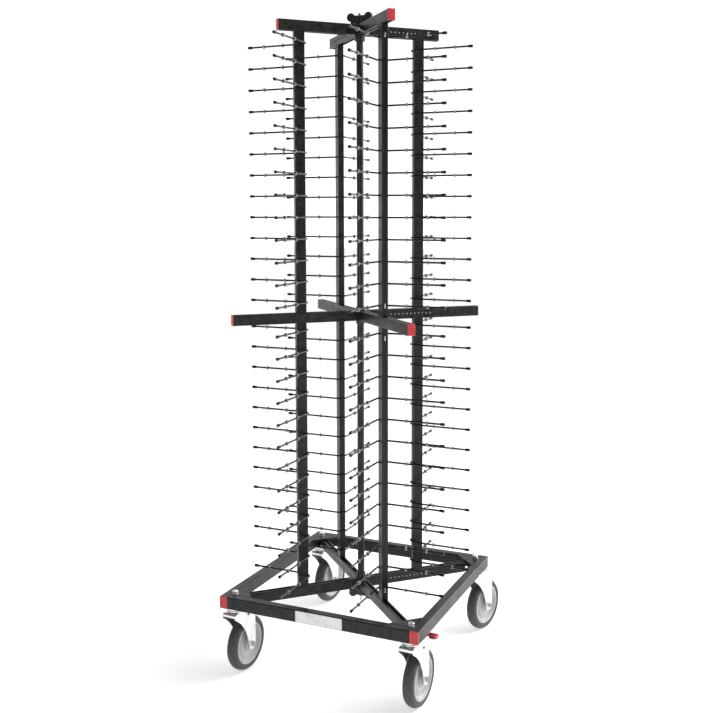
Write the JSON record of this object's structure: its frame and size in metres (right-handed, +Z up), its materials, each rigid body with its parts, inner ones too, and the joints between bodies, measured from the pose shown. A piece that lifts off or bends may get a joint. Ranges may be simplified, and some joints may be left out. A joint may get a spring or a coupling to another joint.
{
  "type": "mobile plate rack",
  "caption": "Castered plate-stacking rack: square base, crossed arms on a centre post, and sliding uprights with V-shaped wires that hold plates in columns.",
  "frame": {"origin": "on the floor, at the middle of the footprint of the rack with its casters trailing to the rear", "axes": "+Z up, -Y towards the label side, +X to the right of someone who faces the label"},
  "size_m": [0.612, 0.6953, 1.8743],
  "materials": {
    "black_frame": "semi-gloss black powder coat",
    "black_post": "semi-gloss black powder coat",
    "red_plastic": "moulded red plastic, satin",
    "black_plastic": "moulded black plastic, satin",
    "zinc": "bright zinc plate",
    "label_white": "white film label without lettering",
    "wire_coat": "black plastic dip coat on steel wire",
    "grip_ring": "milky translucent soft plastic",
    "hub_grey": "grey moulded plastic",
    "tyre_grey": "dark grey rubber",
    "brake_red": "moulded red plastic pedal on a dark steel lever",
    "rod_steel": "zinc-plated steel"
  },
  "bodies": {
    "chassis": {"side_rails": "black_frame", "cross_rails": "black_frame", "rail_end_caps": "red_plastic", "corner_gussets": "black_frame", "caster_bolts": "zinc", "caster_heads": "zinc", "label_plate": "label_white", "base_cross_arms": "black_frame", "mid_cross_arms": "black_frame", "top_cross_arms": "black_frame", "arm_end_caps": "red_plastic", "arm_end_plugs": "black_plastic", "centre_post_lower": "black_frame", "centre_post_upper": "black_frame", "post_collars": "black_plastic", "tie_rod": "rod_steel"},
    "top_knob": {"top_knob": "black_plastic"},
    "bottom_knob": {"bottom_knob": "black_plastic"},
    "lower_upright_fl": {"lower_post_fl": "black_post", "lower_wires_fl": "wire_coat", "lower_rings_fl": "grip_ring"},
    "lower_upright_fr": {"lower_post_fr": "black_post", "lower_wires_fr": "wire_coat", "lower_rings_fr": "grip_ring"},
    "lower_upright_rl": {"lower_post_rl": "black_post", "lower_wires_rl": "wire_coat", "lower_rings_rl": "grip_ring"},
    "lower_upright_rr": {"lower_post_rr": "black_post", "lower_wires_rr": "wire_coat", "lower_rings_rr": "grip_ring"},
    "upper_upright_fl": {"upper_post_fl": "black_post", "upper_wires_fl": "wire_coat", "upper_rings_fl": "grip_ring"},
    "upper_upright_fr": {"upper_post_fr": "black_post", "upper_wires_fr": "wire_coat", "upper_rings_fr": "grip_ring"},
    "upper_upright_rl": {"upper_post_rl": "black_post", "upper_wires_rl": "wire_coat", "upper_rings_rl": "grip_ring"},
    "upper_upright_rr": {"upper_post_rr": "black_post", "upper_wires_rr": "wire_coat", "upper_rings_rr": "grip_ring"},
    "caster_fork_fl": {"caster_fork_fl": "zinc", "caster_axle_fl": "zinc"},
    "caster_wheel_fl": {"caster_hub_fl": "hub_grey", "caster_tyre_fl": "tyre_grey"},
    "caster_fork_fr": {"caster_fork_fr": "zinc", "caster_axle_fr": "zinc"},
    "caster_wheel_fr": {"caster_hub_fr": "hub_grey", "caster_tyre_fr": "tyre_grey"},
    "caster_fork_rl": {"caster_fork_rl": "zinc", "caster_axle_rl": "zinc"},
    "caster_wheel_rl": {"caster_hub_rl": "hub_grey", "caster_tyre_rl": "tyre_grey"},
    "caster_fork_rr": {"caster_fork_rr": "zinc", "caster_axle_rr": "zinc"},
    "caster_wheel_rr": {"caster_hub_rr": "hub_grey", "caster_tyre_rr": "tyre_grey"},
    "caster_brake_fl": {"caster_brake_fl": "brake_red"},
    "caster_brake_fr": {"caster_brake_fr": "brake_red"}
  },
  "joints": [
    {"name": "top_knob_turn", "type": "hinge", "parent": "chassis", "child": "top_knob", "pos_m": [-0.00513, -0.04631, 1.84], "axis": [0, 0, 1], "range_deg": [0, 360]},
    {"name": "bottom_knob_turn", "type": "hinge", "parent": "chassis", "child": "bottom_knob", "pos_m": [-0.00513, -0.04631, 0.204], "axis": [0, 0, -1], "range_deg": [0, 360]},
    {"name": "lower_upright_slide_fl", "type": "slide", "parent": "chassis", "child": "lower_upright_fl", "axis": [-0.7071, -0.7071, 0], "range_m": [-0.1, 0.025]},
    {"name": "lower_upright_slide_fr", "type": "slide", "parent": "chassis", "child": "lower_upright_fr", "axis": [0.7071, -0.7071, 0], "range_m": [-0.1, 0.025]},
    {"name": "lower_upright_slide_rl", "type": "slide", "parent": "chassis", "child": "lower_upright_rl", "axis": [-0.7071, 0.7071, 0], "range_m": [-0.1, 0.025]},
    {"name": "lower_upright_slide_rr", "type": "slide", "parent": "chassis", "child": "lower_upright_rr", "axis": [0.7071, 0.7071, 0], "range_m": [-0.1, 0.025]},
    {"name": "upper_upright_slide_fl", "type": "slide", "parent": "chassis", "child": "upper_upright_fl", "axis": [-0.7071, -0.7071, 0], "range_m": [-0.1, 0.025]},
    {"name": "upper_upright_slide_fr", "type": "slide", "parent": "chassis", "child": "upper_upright_fr", "axis": [0.7071, -0.7071, 0], "range_m": [-0.1, 0.025]},
    {"name": "upper_upright_slide_rl", "type": "slide", "parent": "chassis", "child": "upper_upright_rl", "axis": [-0.7071, 0.7071, 0], "range_m": [-0.1, 0.025]},
    {"name": "upper_upright_slide_rr", "type": "slide", "parent": "chassis", "child": "upper_upright_rr", "axis": [0.7071, 0.7071, 0], "range_m": [-0.1, 0.025]},
    {"name": "caster_swivel_fl", "type": "hinge", "parent": "chassis", "child": "caster_fork_fl", "pos_m": [-0.27313, -0.31431, 0.191], "axis": [0, 0, 1], "continuous": true},
    {"name": "wheel_spin_fl", "type": "hinge", "parent": "caster_fork_fl", "child": "caster_wheel_fl", "pos_m": [-0.27062, -0.26638, 0.078], "axis": [0.9986, -0.0523, 0], "continuous": true},
    {"name": "caster_swivel_fr", "type": "hinge", "parent": "chassis", "child": "caster_fork_fr", "pos_m": [0.26287, -0.31431, 0.191], "axis": [0, 0, 1], "continuous": true},
    {"name": "wheel_spin_fr", "type": "hinge", "parent": "caster_fork_fr", "child": "caster_wheel_fr", "pos_m": [0.26538, -0.26638, 0.078], "axis": [0.9986, -0.0523, 0], "continuous": true},
    {"name": "caster_swivel_rl", "type": "hinge", "parent": "chassis", "child": "caster_fork_rl", "pos_m": [-0.27313, 0.22169, 0.191], "axis": [0, 0, 1], "continuous": true},
    {"name": "wheel_spin_rl", "type": "hinge", "parent": "caster_fork_rl", "child": "caster_wheel_rl", "pos_m": [-0.26812, 0.26943, 0.078], "axis": [0.9945, -0.1045, 0], "continuous": true},
    {"name": "caster_swivel_rr", "type": "hinge", "parent": "chassis", "child": "caster_fork_rr", "pos_m": [0.26287, 0.22169, 0.191], "axis": [0, 0, 1], "continuous": true},
    {"name": "wheel_spin_rr", "type": "hinge", "parent": "caster_fork_rr", "child": "caster_wheel_rr", "pos_m": [0.27448, 0.26826, 0.078], "axis": [0.9703, -0.2419, 0], "continuous": true},
    {"name": "brake_press_fl", "type": "hinge", "parent": "caster_fork_fl", "child": "caster_brake_fl", "pos_m": [-0.27156, -0.28435, 0.172], "axis": [-0.9986, 0.0523, 0], "range_deg": [0, 10]},
    {"name": "brake_press_fr", "type": "hinge", "parent": "caster_fork_fr", "child": "caster_brake_fr", "pos_m": [0.26444, -0.28435, 0.172], "axis": [-0.9986, 0.0523, 0], "range_deg": [0, 10]}
  ]
}
